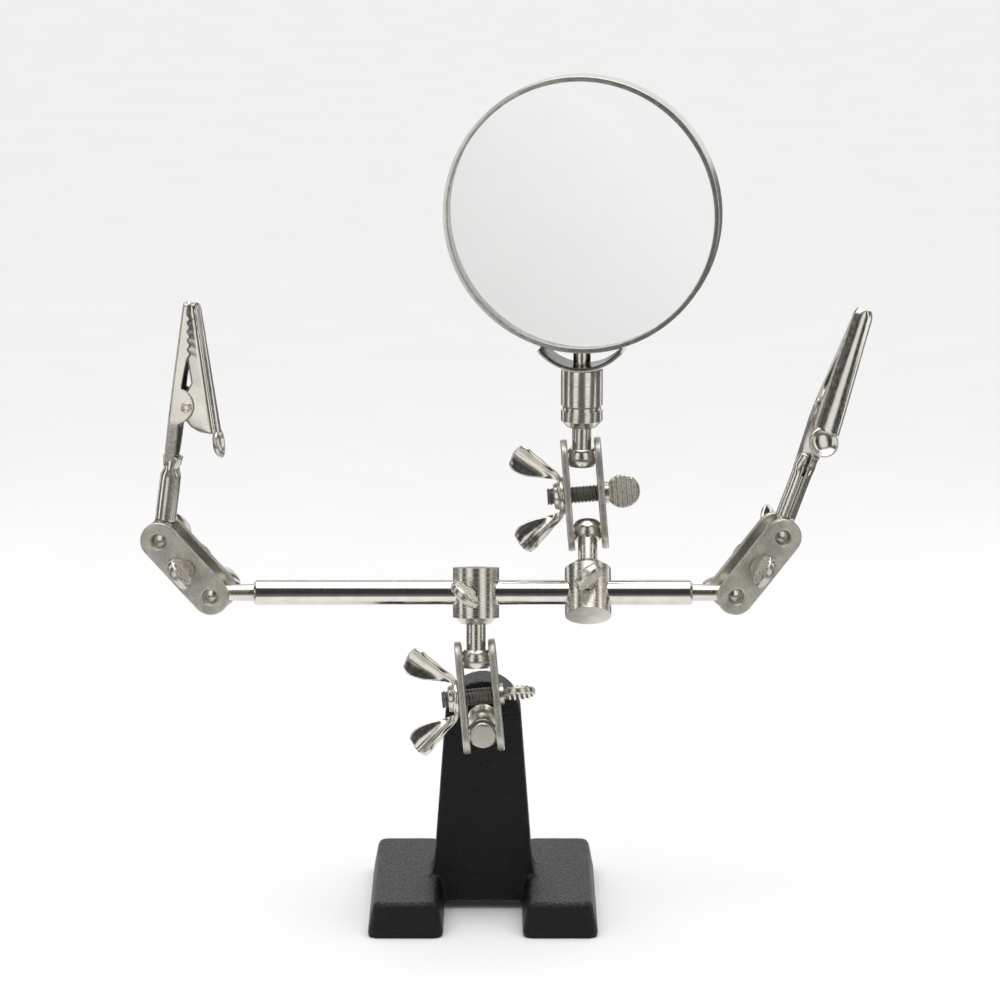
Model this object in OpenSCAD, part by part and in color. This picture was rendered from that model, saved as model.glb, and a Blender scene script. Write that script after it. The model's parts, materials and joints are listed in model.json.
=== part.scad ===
// Helping hands clamp: a weighted base, two ball jointed arms with alligator clips
// and a magnifying glass, all held by double plate clamps with wing nuts.
// Origin: bench plane, centre of the base. +Z is up, and the front of the tool faces -Y.

/* [Base] */
// Width of the base across both feet
base_w = 53; // [46:1:70]
// Depth of each foot, front to back
foot_d = 58; // [50:1:80]
// Height of the feet
foot_h = 8; // [6:0.5:12]
// Width of the gap between the feet
foot_gap = 18.2; // [14:0.2:22]
// Thickness of the upright post
post_t = 11.5; // [9:0.5:16]
// Width of the post where it leaves the feet
post_foot_w = 23.4; // [20:0.2:26]
// Radius of the rounded top of the post
post_top_r = 8.8; // [8:0.1:10]
// Height of the stud hole above the bench
stud_z = 46.2; // [42:0.2:60]

/* [Ball joints] */
// Radius of every ball
ball_r = 3.5; // [3.4:0.05:3.6]
// Half the length of a ball between its turned flats
ball_half = 2.1; // [1.9:0.1:2.4]
// Distance from the post face to the ball of the base stud
ball_reach = 14.25; // [13:0.25:20]
// Distance from a swivel's bar to its ball
swivel_reach = 15.3; // [14.5:0.1:20]

/* [Double plate clamps] */
// Distance between the two ball holes of a plate
ball_pitch = 17.2; // [16.5:0.1:20]
// Width of a plate
plate_w = 8.7; // [8.2:0.1:9.6]
// Thickness of a plate
plate_t = 1.6; // [1.2:0.1:2]
// Clear gap between the two plates
plate_gap = 6.2; // [6.1:0.02:6.3]
// Nominal diameter of the clamp bolt
bolt_d = 4; // [3.5:0.1:4.2]
// Radius of a round thumb head
thumb_r = 3.9; // [3.4:0.1:4.4]

/* [Crossbar] */
// Diameter of the crossbar
bar_d = 5.8; // [5.4:0.1:6]
// Length of the crossbar without its ball studs
bar_l = 100.6; // [90:0.2:130]
// Distance from the end of the bar to the ball
bar_neck = 9.1; // [8:0.1:12]
// Place of the magnifier swivel along the bar, from the centre swivel
mag_x = 25.7; // [22:0.1:34]

/* [Magnifier] */
// Outer radius of the lens rim
rim_r = 31.75; // [30:0.25:32]
// Depth of the lens rim
rim_depth = 7; // [6:0.5:8]
// Distance from the magnifier's ball to the centre of the glass
lens_reach = 56.5; // [56:0.25:60]
// Thickness of the glass at its centre
glass_t = 6.4; // [5:0.2:6.6]

/* [Alligator clips] */
// Distance from a clip's ball to the tip of its jaws
clip_l = 55; // [55:0.5:56]
// Thickness of the clip's sheet metal
clip_t = 0.6; // [0.5:0.05:0.65]

/* [Pose at rest] */
// Lean of the lower clamp to the left
lower_side = 5.4; // [0:0.2:8]
// Lean of the lower clamp to the back
lower_back = 15; // [0:1:20]
// Lean of the centre swivel to the back
swivel_back = 10; // [0:1:20]
// Roll of the magnifier swivel to the back
mag_back = 35; // [20:1:45]
// Lean of the upper clamp to the left
upper_side = 4.6; // [0:0.2:6]
// Lean of the upper clamp to the back
upper_back = 11.4; // [0:0.2:16]
// Turn of the magnifying glass about its stem
lens_turn = -8.5; // [-20:0.5:20]
// Turn of both arm clamps out of the bar's plane
arm_turn = 10; // [0:1:11]
// Lean of the left arm clamp from upright
left_lean = 43.6; // [20:0.2:60]
// Lean of the right arm clamp from upright
right_lean = 39; // [20:0.2:60]
// Lean of the left clip towards the middle
left_clip_lean = 7.7; // [0:0.1:15]
// Lean of the right clip away from the middle
right_clip_lean = 20.6; // [0:0.1:30]
// Turn of the right clip about its stem, away from the front
right_clip_turn = -5; // [-20:1:45]

/* [Hidden] */

$fn = 64;
fit = 0.05;          // radial clearance of every turning fit
seat = 0.02;         // gap left between faces that only touch
through = 1;         // how far a cutter runs past the face that it cuts

neck_r = 2.2;        // neck of the swivel and base studs
bar_neck_r = 1.95;   // neck of a bar end stud, at the bar
slim_neck_r = 1.75;  // neck of a bar end stud, at the ball
shank_r = 1.6;       // turning shank of a swivel stud
shank_l = 3;
swivel_r = 5.3;      // swivel body
swivel_half = 5.75;  // half the length of a swivel body, without its cone
swivel_cone = 1.5;
bar_shift = -0.65;   // centre of the bar, from the centre swivel

// Points and directions of the chain, from the base outwards
function turn_x(a, p) = [p.x, p.y * cos(a) - p.z * sin(a), p.y * sin(a) + p.z * cos(a)];
function turn_y(a, p) = [p.x * cos(a) + p.z * sin(a), p.y, p.z * cos(a) - p.x * sin(a)];
function turn_z(a, p) = [p.x * cos(a) - p.y * sin(a), p.x * sin(a) + p.y * cos(a), p.z];

post_face = -post_t / 2;
base_ball = [0, post_face - ball_reach, stud_z];
swivel_ball = base_ball + turn_y(-lower_side, turn_x(-lower_back, [0, 0, ball_pitch]));
swivel = swivel_ball + turn_x(-swivel_back, [0, 0, swivel_reach]);
mag_swivel = swivel + [mag_x, 0, 0];
mag_ball = mag_swivel + turn_x(-mag_back, [0, 0, swivel_reach]);
lens_ball = mag_ball + turn_y(-upper_side, turn_x(-upper_back, [0, 0, ball_pitch]));
bar_mid = swivel + [bar_shift, 0, 0];
left_ball = bar_mid - [bar_l / 2 + bar_neck, 0, 0];
right_ball = bar_mid + [bar_l / 2 + bar_neck, 0, 0];
left_az = -90 - arm_turn;
right_az = -90 + arm_turn;
left_clip_ball = left_ball + turn_z(left_az, turn_x(left_lean, [0, 0, ball_pitch]));
right_clip_ball = right_ball + turn_z(right_az, turn_x(-right_lean, [0, 0, ball_pitch]));

// Frames: in a clamp's frame the first ball is at the origin, the second is up +Z,
// the plates lie across X and the thumb head is on the +X side.
module lower_frame() translate(base_ball) rotate([0, -lower_side, 0]) rotate([-lower_back, 0, 0]) children();
module swivel_frame() translate(swivel) rotate([-swivel_back, 0, 0]) children();
module bar_frame() translate(bar_mid) children();
module mag_swivel_frame() translate(mag_swivel) rotate([-mag_back, 0, 0]) children();
module upper_frame() translate(mag_ball) rotate([0, -upper_side, 0]) rotate([-upper_back, 0, 0]) children();
module lens_frame() translate(lens_ball) rotate([0, 0, lens_turn]) children();
module left_arm_frame() translate(left_ball) rotate([0, 0, left_az]) rotate([left_lean, 0, 0]) children();
module right_arm_frame() translate(right_ball) rotate([0, 0, right_az]) rotate([-right_lean, 0, 0]) children();
module left_clip_frame()
    translate(left_clip_ball) rotate([0, 0, left_az]) rotate([-left_clip_lean, 0, 0])
        rotate([0, 0, 90]) children();
module right_clip_frame()
    translate(right_clip_ball) rotate([0, 0, right_az]) rotate([-right_clip_lean, 0, 0])
        rotate([0, 0, right_clip_turn]) children();
// A flat outline drawn in Y and Z, thickened along X
module across_x(t) rotate([90, 0, 90]) linear_extrude(t) children();

// ---------- colours ----------
module nickel() color("lightgray") children();
module satin() color("silver") children();
module black_paint() color([0.1, 0.1, 0.1]) children();

// ---------- base ----------
foot_draft = 1.1;     // the feet are this much smaller at their top, all round
foot_corner_r = 2.4;
web_z = 2;            // underside of the web between the feet
post_fillet = 2;
stud_hole_r = 2.5;

module foot() {
    foot_w = (base_w - foot_gap) / 2;
    middle = (base_w + foot_gap) / 4;
    hull()
        for (x = [-1, 1], y = [-1, 1]) {
            translate([middle + x * (foot_w / 2 - foot_corner_r), y * (foot_d / 2 - foot_corner_r), 0])
                cylinder(r = foot_corner_r, h = 1, $fn = 32);
            translate([middle + x * (foot_w / 2 - foot_corner_r - foot_draft),
                       y * (foot_d / 2 - foot_corner_r - foot_draft), foot_h - 1])
                cylinder(r1 = foot_corner_r, r2 = foot_corner_r - 0.6, h = 1, $fn = 32);
        }
}

module post_outline() {
    half = post_foot_w / 2;
    // sides that leave the top circle as tangents
    rise = stud_z - foot_h;
    slope = atan2(half - post_top_r, rise);
    difference() {
        union() {
            translate([0, stud_z]) circle(r = post_top_r);
            polygon([
                [-half, foot_h], [half, foot_h],
                [post_top_r * cos(slope), stud_z + post_top_r * sin(slope)],
                [-post_top_r * cos(slope), stud_z + post_top_r * sin(slope)]
            ]);
            translate([-half - post_fillet, web_z]) square([2 * (half + post_fillet), foot_h - web_z + post_fillet]);
        }
        for (s = [-1, 1])
            translate([s * (half + post_fillet), foot_h + post_fillet]) circle(r = post_fillet);
    }
}

module base_casting() {
    black_paint() difference() {
        union() {
            foot();
            mirror([1, 0, 0]) foot();
            translate([0, post_t / 2, 0]) rotate([90, 0, 0]) linear_extrude(post_t) post_outline();
        }
        translate([0, post_t / 2 + through, stud_z]) rotate([90, 0, 0])
            cylinder(r = stud_hole_r, h = post_t + 2 * through);
    }
}

// ---------- ball studs ----------
// Half section of a turned ball with a flat at its free end
module ball_section() {
    intersection() {
        circle(r = ball_r);
        translate([0, -ball_half]) square([ball_r + through, 2 * ball_half]);
    }
}

nut_t = 3.2;
washer_t = 0.8;
washer_r = 4.6;
stud_tail = 1;
module base_ball_stud() {
    flange_r = 3.6;
    flange_t = 1.6;
    shank = post_t + washer_t + nut_t + stud_tail + 2 * seat;
    nickel() translate(base_ball) rotate([-90, 0, 0]) rotate_extrude() union() {
        ball_section();
        square([neck_r, ball_reach - seat]);
        translate([0, ball_reach - seat - flange_t])
            polygon([[0, 0], [flange_r - 1, 0], [flange_r, 0.8], [flange_r, flange_t], [0, flange_t]]);
        translate([0, ball_reach - seat - flange_t]) square([stud_hole_r - fit, flange_t + shank]);
    }
}

module base_stud_washer() {
    satin() translate([0, post_t / 2 + seat, stud_z]) rotate([-90, 0, 0]) difference() {
        cylinder(r = washer_r, h = washer_t);
        translate([0, 0, -through]) cylinder(r = stud_hole_r, h = washer_t + 2 * through);
    }
}

module base_stud_nut() {
    nut_across = 8;
    satin() translate([0, post_t / 2 + washer_t + 2 * seat, stud_z]) rotate([-90, 0, 0]) difference() {
        cylinder(r = nut_across / sqrt(3), h = nut_t, $fn = 6);
        translate([0, 0, -through]) cylinder(r = stud_hole_r - fit, h = nut_t + 2 * through);
    }
}

// Stud of a swivel: the ball is at the origin and the shank turns in the body above
module swivel_stud(reach) {
    nickel() rotate_extrude() union() {
        ball_section();
        square([neck_r, reach - seat]);
        square([shank_r, reach + shank_l]);
    }
}

// ---------- double plate clamps ----------
ball_hole_r = 1.75;
bolt_hole_r = bolt_d / 2 + fit;
module plate() {
    satin() across_x(plate_t) difference() {
        union() {
            circle(r = plate_w / 2);
            translate([0, ball_pitch]) circle(r = plate_w / 2);
            translate([-plate_w / 2, 0]) square([plate_w, ball_pitch]);
        }
        for (y = [0, ball_pitch]) translate([0, y]) circle(r = ball_hole_r);
        translate([0, ball_pitch / 2]) circle(r = bolt_hole_r);
    }
}
module thumb_side_plate() translate([plate_gap / 2, 0, 0]) plate();
module nut_side_plate() translate([-plate_gap / 2 - plate_t, 0, 0]) plate();

// Threaded shaft along +Z, with rings in place of a helix
thread_pitch = 0.8;
thread_depth = 0.3;
module threaded_rod(r, l) {
    turns = floor(l / thread_pitch);
    lead = (l - turns * thread_pitch) / 2;
    rotate_extrude() polygon(concat(
        [[0, 0], [r - thread_depth, 0]],
        [for (i = [0:turns - 1], half = [0, 0.5])
            [half == 0 ? r - thread_depth : r, lead + (i + half) * thread_pitch]],
        [[r - thread_depth, l - lead], [r - thread_depth, l], [0, l]]
    ));
}

// Round flat head that stands on edge: its centre is at the origin, its stem comes from -X
thumb_core = 1.6;
thumb_ridge = 0.3;
thumb_ridges = 7;
module thumb_head() {
    step = 2 * thumb_r / thumb_ridges;
    half = thumb_core / 2;
    top = [for (i = [0:thumb_ridges - 1], k = [0, 0.5])
        [-thumb_r + (i + k) * step, half + (k == 0 ? 0 : thumb_ridge)]];
    bottom = [for (i = [len(top) - 1:-1:0]) [top[i].x, -top[i].y]];
    intersection() {
        rotate([90, 0, 0]) cylinder(r = thumb_r, h = thumb_core + 4 * thumb_ridge, center = true);
        translate([0, 0, -thumb_r - through]) linear_extrude(2 * (thumb_r + through))
            polygon(concat(top, [[thumb_r, half], [thumb_r, -half]], bottom));
    }
}

bolt_tail = 3.9;       // bolt that stands past the nut side plate
stem_l = 0.9;
stem_r = 2.5;
module thumb_bolt(head_turn) {
    face = plate_gap / 2 + plate_t;
    translate([0, 0, ball_pitch / 2]) rotate([head_turn, 0, 0]) nickel() union() {
        translate([-face - bolt_tail, 0, 0]) rotate([0, 90, 0]) threaded_rod(bolt_d / 2, 2 * face + bolt_tail + stem_l / 2);
        translate([face + seat, 0, 0]) rotate([0, 90, 0]) cylinder(r = stem_r, h = stem_l);
        translate([face + seat + thumb_r + 0.3, 0, 0]) thumb_head();
    }
}

// Wing nut with a hub along +Z and two cupped leaves in the XZ plane
hub_r = 4.4;
hub_web = 1.1;
hub_boss_r = 3.1;
hub_h = 2.4;
leaf_r = 3.7;
leaf_at = [8.7, 8.1];
leaf_tip = [12.7, 8.5];
leaf_t = 1.1;
leaf_cup_r = 5.6;
leaf_cup_depth = 2.8;
stem_w = 1.5;
module leaf_outline() {
    translate(leaf_at) circle(r = leaf_r);
    polygon([[5.6, 3.2], leaf_tip, [11.4, 10.6], leaf_at, [5, 7.2]]);
}
module wing() {
    intersection() {
        translate([leaf_at.x - 0.4, -leaf_cup_r + leaf_t, leaf_at.y - 0.4]) difference() {
            sphere(r = leaf_cup_r);
            sphere(r = leaf_cup_r - leaf_t);
        }
        translate([0, 2 * leaf_t, 0]) rotate([90, 0, 0]) linear_extrude(leaf_cup_depth + 2 * leaf_t) leaf_outline();
    }
    translate([0, stem_w / 2, 0]) rotate([90, 0, 0]) linear_extrude(stem_w)
        polygon([[2.9, 0.1], [4.3, 0.4], [7.9, 3.7], [8.6, 4.9], [6.4, 6], [4.8, 3.6], [2.9, 1.9]]);
}
module wing_nut(nut_turn) {
    face = plate_gap / 2 + plate_t + seat;
    nickel() translate([-face, 0, ball_pitch / 2]) rotate([nut_turn, 0, 0]) rotate([0, -90, 0]) difference() {
        union() {
            cylinder(r1 = hub_r, r2 = hub_r - 0.6, h = hub_web);
            cylinder(r = hub_boss_r, h = hub_h);
            wing();
            mirror([1, 0, 0]) wing();
        }
        translate([0, 0, -through]) cylinder(r = bolt_hole_r, h = hub_h + 2 * through);
    }
}

// ---------- swivels ----------
screw_hole_r = 1.55;
screw_at = swivel_r + thumb_r + 0.4;
// Body with the bar through it along X, its cone and stud hole on the -Z side
module swivel_body(screw_turn) {
    satin() difference() {
        union() {
            translate([0, 0, -swivel_half]) cylinder(r = swivel_r, h = 2 * swivel_half);
            translate([0, 0, -swivel_half - swivel_cone]) cylinder(r1 = neck_r + 1.1, r2 = swivel_r - 0.5, h = swivel_cone);
        }
        translate([-swivel_r - through, 0, 0]) rotate([0, 90, 0])
            cylinder(r = bar_d / 2 + fit, h = 2 * (swivel_r + through));
        translate([0, 0, -swivel_half - swivel_cone - through]) cylinder(r = shank_r + fit, h = shank_l + through + 0.2);
        rotate([0, 0, screw_turn]) rotate([90, 0, 0]) cylinder(r = screw_hole_r + fit, h = swivel_r + through);
    }
}

// Thumb screw that locks the bar from the front of a swivel
module swivel_screw(screw_turn, head_turn) {
    tip = bar_d / 2 + fit + 0.4;
    nickel() rotate([0, 0, screw_turn]) rotate([0, 0, -90]) rotate([head_turn, 0, 0]) union() {
        translate([tip, 0, 0]) rotate([0, 90, 0]) cylinder(r = screw_hole_r, h = screw_at - tip);
        translate([screw_at, 0, 0]) thumb_head();
    }
}

// ---------- crossbar ----------
end_shank_r = 1.5;
end_shank_l = 8;
module crossbar() {
    chamfer = 0.6;
    r = bar_d / 2;
    half = bar_l / 2;
    hole = end_shank_l + 0.3;
    nickel() bar_frame() rotate([0, 90, 0]) rotate_extrude() polygon([
        [0, -half + hole], [end_shank_r + fit, -half + hole], [end_shank_r + fit, -half],
        [r - chamfer, -half], [r, -half + chamfer], [r, half - chamfer], [r - chamfer, half],
        [end_shank_r + fit, half], [end_shank_r + fit, half - hole], [0, half - hole]
    ]);
}
module bar_end_stud() {
    nickel() rotate([0, 90, 0]) rotate_extrude() union() {
        ball_section();
        polygon([[0, 0], [slim_neck_r, 0], [bar_neck_r, bar_neck - seat], [0, bar_neck - seat]]);
        square([end_shank_r, bar_neck + end_shank_l]);
    }
}

// ---------- magnifier ----------
rim_wall = 0.7;
lip = 0.5;
lip_t = 0.5;
glass_gap = 0.05;
glass_edge = 1.8;
holder_r = 4.8;
holder_z = 7.1;       // underside of the holder above its ball
holder_top = 20.5;
saddle_r = 12.8;       // outer radius of the saddle's curve
saddle_t = 1;
saddle_w = 9.4;
saddle_half = 9.9;    // half the span of the saddle
spigot_r = 2;
module lens_stud() lens_frame() swivel_stud(holder_z);
module lens_holder() {
    groove_z = 11.2;
    groove_w = 1.1;
    groove_depth = 0.4;
    cone = 1.3;
    rim_bottom = lens_reach - rim_r;
    satin() lens_frame() difference() {
        rotate_extrude() polygon([
            [0, holder_z], [neck_r + 1.1, holder_z], [holder_r - 0.3, holder_z + cone], [holder_r, holder_z + cone + 0.3],
            [holder_r, groove_z], [holder_r - groove_depth, groove_z],
            [holder_r - groove_depth, groove_z + groove_w], [holder_r, groove_z + groove_w],
            [holder_r, holder_top], [spigot_r, holder_top],
            [spigot_r, rim_bottom - seat], [0, rim_bottom - seat]
        ]);
        translate([0, 0, holder_z - through]) cylinder(r = shank_r + fit, h = shank_l + through + 0.2);
        // a saddle shaped seat in the top face
        translate([0, holder_r + through, holder_top + saddle_r]) rotate([90, 0, 0]) difference() {
            cylinder(r = saddle_r + seat, h = 2 * (holder_r + through));
            translate([-spigot_r, -saddle_r - through, -through]) cube([2 * spigot_r, 2 * saddle_r, 4 * holder_r]);
        }
    }
}
module lens_saddle() {
    half_angle = asin(saddle_half / saddle_r);
    nickel() lens_frame() difference() {
        translate([0, saddle_w / 2, holder_top + saddle_r]) rotate([90, 0, 0]) linear_extrude(saddle_w)
            intersection() {
                difference() {
                    circle(r = saddle_r);
                    circle(r = saddle_r - saddle_t);
                }
                polygon([[0, 0], [-2 * saddle_r * sin(half_angle), -2 * saddle_r * cos(half_angle)],
                         [2 * saddle_r * sin(half_angle), -2 * saddle_r * cos(half_angle)]]);
            }
        translate([0, 0, holder_top - through]) cylinder(r = spigot_r + seat, h = 2 * saddle_t + 2 * through);
        // the ends of the saddle are cut to the rim
        translate([0, saddle_w, lens_reach]) rotate([90, 0, 0]) cylinder(r = rim_r + seat, h = 2 * saddle_w);
    }
}
module lens_rim() {
    half = rim_depth / 2;
    inner = rim_r - rim_wall;
    nickel() lens_frame() translate([0, 0, lens_reach]) rotate([90, 0, 0]) rotate_extrude($fn = 128) polygon([
        [rim_r, -half], [rim_r, half], [inner - lip, half], [inner - lip, half - lip_t],
        [inner, half - lip_t], [inner, -half + lip_t], [inner - lip, -half + lip_t], [inner - lip, -half]
    ]);
}
module lens_glass() {
    r = rim_r - rim_wall - glass_gap;
    bulge = (glass_t - glass_edge) / 2;
    curve_r = (r * r + bulge * bulge) / (2 * bulge);
    color([0.85, 0.93, 0.95, 0.5]) lens_frame() translate([0, 0, lens_reach]) rotate([90, 0, 0])
        rotate_extrude($fn = 96) intersection() {
            translate([0, -glass_t]) square([r, 2 * glass_t]);
            translate([0, curve_r - glass_t / 2]) circle(r = curve_r, $fn = 720);
            translate([0, glass_t / 2 - curve_r]) circle(r = curve_r, $fn = 720);
        }
}

// ---------- alligator clips ----------
// The clip's ball is at the origin, its jaws point up +Z and its lever is on the +X side.
barrel_r = 2.35;
barrel_z = 3.8;        // open end of the barrel
barrel_top = 16.5;
clip_shank_r = barrel_r - clip_t;
pivot = [2.4, 31.6];   // rivet, in X and Z
rivet_r = 0.85;
ear_r = 4;
jaw_back = -1.65;      // the outer face of the fixed jaw
jaw_wide = 2.9;        // half width over the ears
jaw_narrow = 1.8;      // half width at the tips
tooth_z = 42.8;        // where the teeth end
tooth_n = 5;
tooth_h = 0.75;
mesh_gap = 0.06;
tooth_top = clip_l - 2.2;
lever_in = 0.2;        // gap between the lever's walls and the ears
lever_half = jaw_wide - clip_t - lever_in;
wall_tilt = atan2(jaw_wide - jaw_narrow, clip_l - pivot.y);
lever_tilt = atan2(lever_half - jaw_narrow, clip_l - pivot.y);
// The toothed line, from the throat up to the tip, moved sideways by d
function tooth_line(d) = [for (i = [0:2 * tooth_n])
    let(z = tooth_z + (tooth_top - tooth_z) * i / (2 * tooth_n))
        [1.1 - 1.5 * i / (2 * tooth_n) + (i % 2 == 0 ? 0 : tooth_h) + d, z]];
function backwards(list) = [for (i = [len(list) - 1:-1:0]) list[i]];

module clip_stud() {
    nickel() rotate_extrude() union() {
        ball_section();
        square([clip_shank_r - fit, barrel_top - 2]);
    }
}

// A flat wall drawn in X and Z, leaning in towards the tip. side is -1 or 1.
module leaning_wall(side, half, tilt) {
    translate([0, side * half, pivot.y]) rotate([side * tilt, 0, 0]) translate([0, side < 0 ? clip_t : 0, -pivot.y])
        rotate([90, 0, 0]) linear_extrude(clip_t) children();
}
module jaw_outline() {
    union() {
        polygon(concat(
            [[jaw_back, 20], [0.9, 20], [0.9, 28], [0.5, 36.8]],
            tooth_line(-mesh_gap),
            [[-0.45, clip_l], [jaw_back + 0.5, clip_l], [jaw_back, clip_l - 0.8]]
        ));
        translate([0.2, pivot.y]) circle(r = ear_r);
    }
}
module clip_jaw() {
    satin() difference() {
        union() {
            for (side = [-1, 1]) leaning_wall(side, jaw_wide, wall_tilt) difference() {
                intersection() {
                    jaw_outline();
                    translate([jaw_back, 0]) square([4 * ear_r, 2 * clip_l]);
                }
                translate(pivot) circle(r = rivet_r + seat);
            }
            // back of the channel, a tapered sheet
            translate([jaw_back, 0, 0]) rotate([90, 0, 90]) linear_extrude(clip_t) polygon([
                [-barrel_r, barrel_top + 3], [barrel_r, barrel_top + 3], [jaw_wide, pivot.y - 4], [jaw_wide, pivot.y],
                [jaw_narrow, clip_l - 0.8], [jaw_narrow - 0.5, clip_l], [0.5 - jaw_narrow, clip_l],
                [-jaw_narrow, clip_l - 0.8], [-jaw_wide, pivot.y], [-jaw_wide, pivot.y - 4]
            ]);
            // shank walls down to the crimp
            for (side = [-1, 1]) translate([jaw_back, side > 0 ? barrel_r - clip_t : -barrel_r, barrel_top + 0.5])
                cube([2.6, clip_t, 9]);
            translate([0, 0, barrel_z]) cylinder(r = barrel_r, h = barrel_top + 1 - barrel_z);
        }
        translate([0, 0, barrel_z - through]) cylinder(r = clip_shank_r, h = barrel_top - barrel_z - 0.5 + through);
        // the rolled barrel's open seam faces the lever
        translate([0, -0.3, barrel_z - through]) cube([barrel_r + through, 0.6, barrel_top - barrel_z + through - 1]);
    }
}

lever_top = [1.2, 54.4];
lever_end = [9.3, 26.6];
lever_slope = atan2(lever_end.x - lever_top.x, lever_top.y - lever_end.y);
pad_r = 3.45;
pad_along = 2.6;        // centre of the pad past the end of the lever's walls
module lever_outline() {
    difference() {
        union() {
            polygon(concat(
                [lever_end, [7.9, 26.3], [5.4, 26.6], [3.3, 27.8], [pivot.x - 1.8, pivot.y], [2.8, 37.2]],
                tooth_line(mesh_gap),
                [[-0.3, clip_l], [0.9, clip_l], lever_top]
            ));
            translate(pivot) circle(r = 2);
        }
        translate(pivot) circle(r = rivet_r + fit);
    }
}
module clip_lever() {
    length = norm(lever_end - lever_top);
    satin() union() {
        for (side = [-1, 1]) leaning_wall(side, lever_half, lever_tilt) lever_outline();
        // outer sheet, in the plane of the sloping edge
        translate([lever_top.x, 0, lever_top.y]) rotate([0, -lever_slope, 0]) {
            translate([-clip_t, 0, 0]) rotate([90, 0, 90]) linear_extrude(clip_t) polygon([
                [-1.5, 0.3], [1.5, 0.3], [jaw_narrow, -0.6], [lever_half + 0.2, -length - 0.2],
                [-lever_half - 0.2, -length - 0.2], [-jaw_narrow, -0.6]
            ]);
            translate([-clip_t, 0, -length - pad_along]) rotate([0, 90, 0]) difference() {
                cylinder(r = pad_r, h = 1.3);
                translate([0, 0, 5.4]) sphere(r = 4.8);
            }
        }
    }
}
rivet_head_r = 1.25;
rivet_head_t = 0.45;
rivet_gap = 0.08;
module clip_rivet() {
    half = jaw_wide + rivet_gap;
    nickel() translate([pivot.x, 0, pivot.y]) rotate([90, 0, 0]) union() {
        cylinder(r = rivet_r, h = 2 * half, center = true);
        for (s = [-1, 1]) translate([0, 0, s * (half + rivet_head_t / 2)])
            cylinder(r = rivet_head_r, h = rivet_head_t, center = true);
    }
}
wire_r = 0.3;
coils = 4;
spring_half = coils * wire_r;
// Closed coils as one sleeve, with a leg on each jaw
module clip_spring() {
    coil_r = rivet_r + 0.25 + wire_r;
    leg_at = spring_half - wire_r;
    leg_r = 0.9 * wire_r;
    satin() translate([pivot.x, 0, pivot.y]) union() {
        rotate([90, 0, 0]) difference() {
            cylinder(r = coil_r + wire_r, h = 2 * spring_half, center = true);
            cylinder(r = coil_r - wire_r, h = 2 * (spring_half + through), center = true);
        }
        translate([-coil_r, -leg_at, -5]) cylinder(r = leg_r, h = 5);
        translate([coil_r, leg_at, -3]) cylinder(r = leg_r, h = 3);
    }
}

base_casting();
base_ball_stud();
base_stud_washer();
base_stud_nut();
lower_frame() nut_side_plate();  // lower_clamp_left_plate
lower_frame() thumb_side_plate();  // lower_clamp_right_plate
lower_frame() thumb_bolt(80);  // lower_clamp_bolt
lower_frame() wing_nut(0);  // lower_clamp_wing_nut
translate(swivel_ball) rotate([-swivel_back, 0, 0]) swivel_stud(swivel_reach - swivel_half - swivel_cone);  // center_swivel_stud
swivel_frame() swivel_body(-15);  // center_swivel_body
swivel_frame() swivel_screw(-15, 45);  // center_swivel_screw
crossbar();
translate(left_ball) bar_end_stud();  // crossbar_left_stud
translate(right_ball) mirror([1, 0, 0]) bar_end_stud();  // crossbar_right_stud
mag_swivel_frame() mirror([0, 0, 1]) swivel_body(0);  // magnifier_swivel_body
translate(mag_ball) rotate([-mag_back, 0, 0]) mirror([0, 0, 1]) swivel_stud(swivel_reach - swivel_half - swivel_cone);  // magnifier_swivel_stud
mag_swivel_frame() swivel_screw(0, -50);  // magnifier_swivel_screw
upper_frame() nut_side_plate();  // upper_clamp_left_plate
upper_frame() thumb_side_plate();  // upper_clamp_right_plate
upper_frame() thumb_bolt(0);  // upper_clamp_bolt
upper_frame() wing_nut(0);  // upper_clamp_wing_nut
lens_stud();
lens_holder();
lens_saddle();
lens_rim();
lens_glass();
left_arm_frame() thumb_side_plate();  // left_arm_front_plate
left_arm_frame() nut_side_plate();  // left_arm_back_plate
left_arm_frame() thumb_bolt(-13);  // left_arm_bolt
left_arm_frame() wing_nut(0);  // left_arm_wing_nut
left_clip_frame() clip_stud();  // left_clip_stud
left_clip_frame() clip_jaw();  // left_clip_jaw
left_clip_frame() clip_lever();  // left_clip_lever
left_clip_frame() clip_rivet();  // left_clip_rivet
left_clip_frame() clip_spring();  // left_clip_spring
right_arm_frame() thumb_side_plate();  // right_arm_front_plate
right_arm_frame() nut_side_plate();  // right_arm_back_plate
right_arm_frame() thumb_bolt(13);  // right_arm_bolt
right_arm_frame() wing_nut(0);  // right_arm_wing_nut
right_clip_frame() clip_stud();  // right_clip_stud
right_clip_frame() clip_jaw();  // right_clip_jaw
right_clip_frame() clip_lever();  // right_clip_lever
right_clip_frame() clip_rivet();  // right_clip_rivet
right_clip_frame() clip_spring();  // right_clip_spring
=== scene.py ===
"""Looks of the helping hands clamp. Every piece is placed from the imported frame's boxes and joints.

Shapes are in millimetres in a local frame, whose matrix turns them into metres in the row frame.
"""

import json
import math

import bpy
from mathutils import Matrix, Vector


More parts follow.
